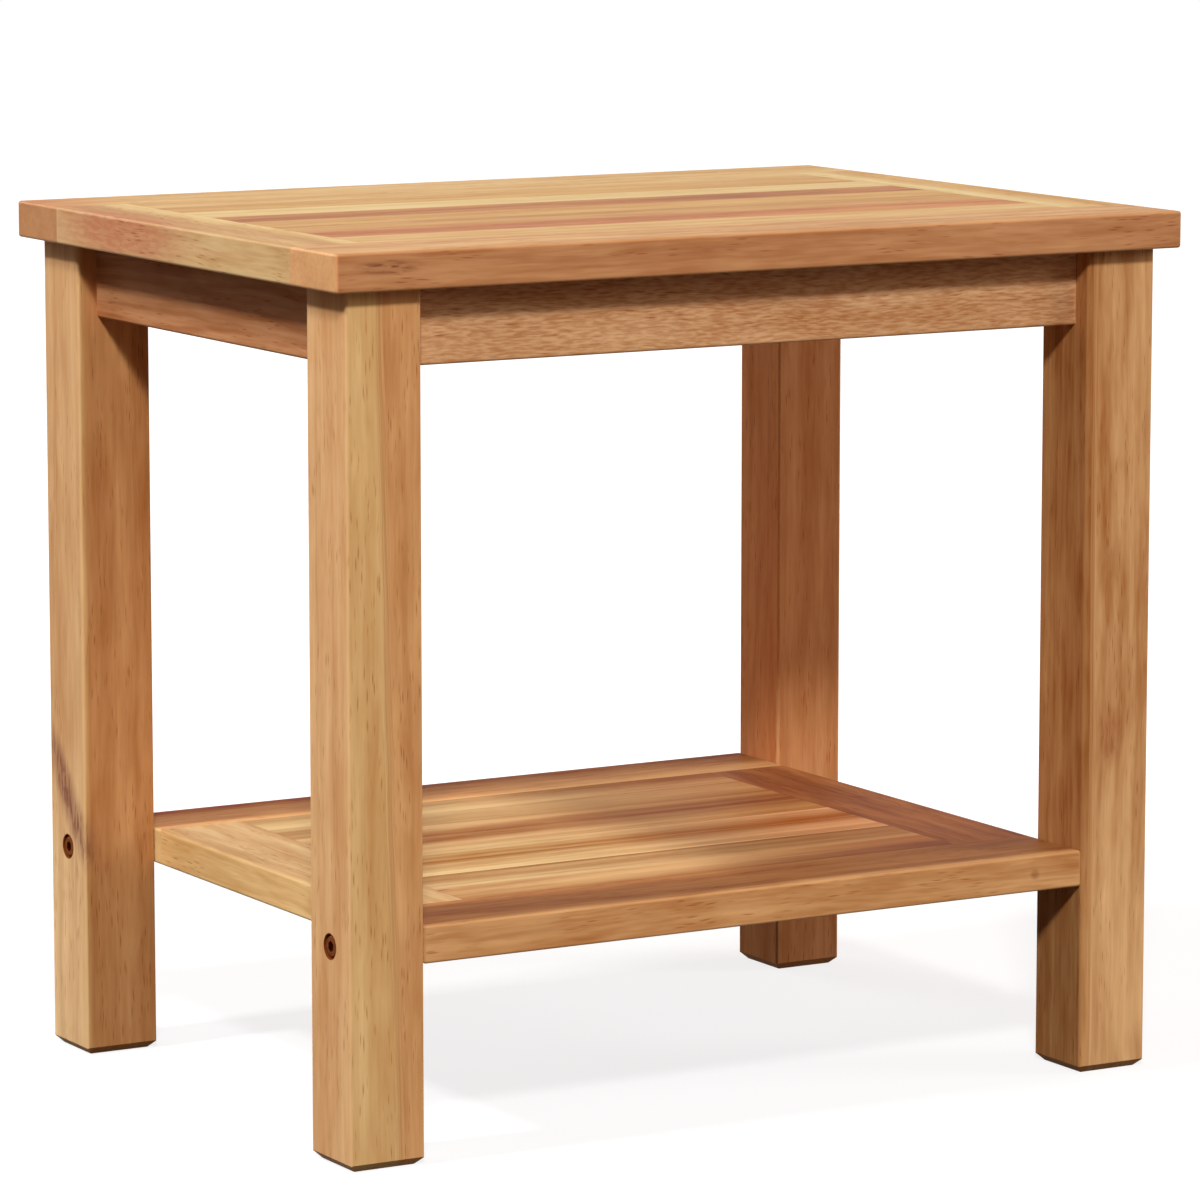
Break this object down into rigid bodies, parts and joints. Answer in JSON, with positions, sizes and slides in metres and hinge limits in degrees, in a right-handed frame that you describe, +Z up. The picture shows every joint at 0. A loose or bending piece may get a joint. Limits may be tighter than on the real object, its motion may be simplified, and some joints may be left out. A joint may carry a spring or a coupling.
{
  "type": "end table with shelf",
  "caption": "Small rectangular wooden end table with square legs, a framed top on recessed aprons and a low framed shelf between the legs, for use beside a seat.",
  "frame": {"origin": "on the floor under the middle of the table", "axes": "+X along the length to the right, +Y to the rear, +Z up"},
  "size_m": [0.49, 0.36, 0.45],
  "materials": {
    "oiled_acacia": "oiled",
    "beech": "raw",
    "zinc_steel": "zinc plated",
    "bronze_steel": "dark bronze plated"
  },
  "bodies": {
    "root": {"apron_dowels": "beech", "apron_front": "oiled_acacia", "apron_left": "oiled_acacia", "apron_rear": "oiled_acacia", "apron_right": "oiled_acacia", "apron_screws": "zinc_steel", "corner_block_front_left": "oiled_acacia", "corner_block_front_right": "oiled_acacia", "corner_block_rear_left": "oiled_acacia", "corner_block_rear_right": "oiled_acacia", "hanger_bolts": "zinc_steel", "hanger_nuts": "zinc_steel", "hanger_washers": "zinc_steel", "leg_front_left": "oiled_acacia", "leg_front_right": "oiled_acacia", "leg_rear_left": "oiled_acacia", "leg_rear_right": "oiled_acacia", "shelf_bolts": "bronze_steel", "shelf_front_rail": "oiled_acacia", "shelf_inserts": "zinc_steel", "shelf_left_end": "oiled_acacia", "shelf_rear_rail": "oiled_acacia", "shelf_right_end": "oiled_acacia", "shelf_strip_1": "oiled_acacia", "shelf_strip_2": "oiled_acacia", "shelf_strip_3": "oiled_acacia", "shelf_strip_4": "oiled_acacia", "shelf_strip_5": "oiled_acacia", "shelf_strip_6": "oiled_acacia", "shelf_strip_7": "oiled_acacia", "shelf_strip_8": "oiled_acacia", "top_front_rail": "oiled_acacia", "top_left_end": "oiled_acacia", "top_rear_rail": "oiled_acacia", "top_right_end": "oiled_acacia", "top_screws": "zinc_steel", "top_strip_1": "oiled_acacia", "top_strip_2": "oiled_acacia", "top_strip_3": "oiled_acacia", "top_strip_4": "oiled_acacia", "top_strip_5": "oiled_acacia", "top_strip_6": "oiled_acacia", "top_strip_7": "oiled_acacia", "top_strip_8": "oiled_acacia"}
  },
  "joints": []
}
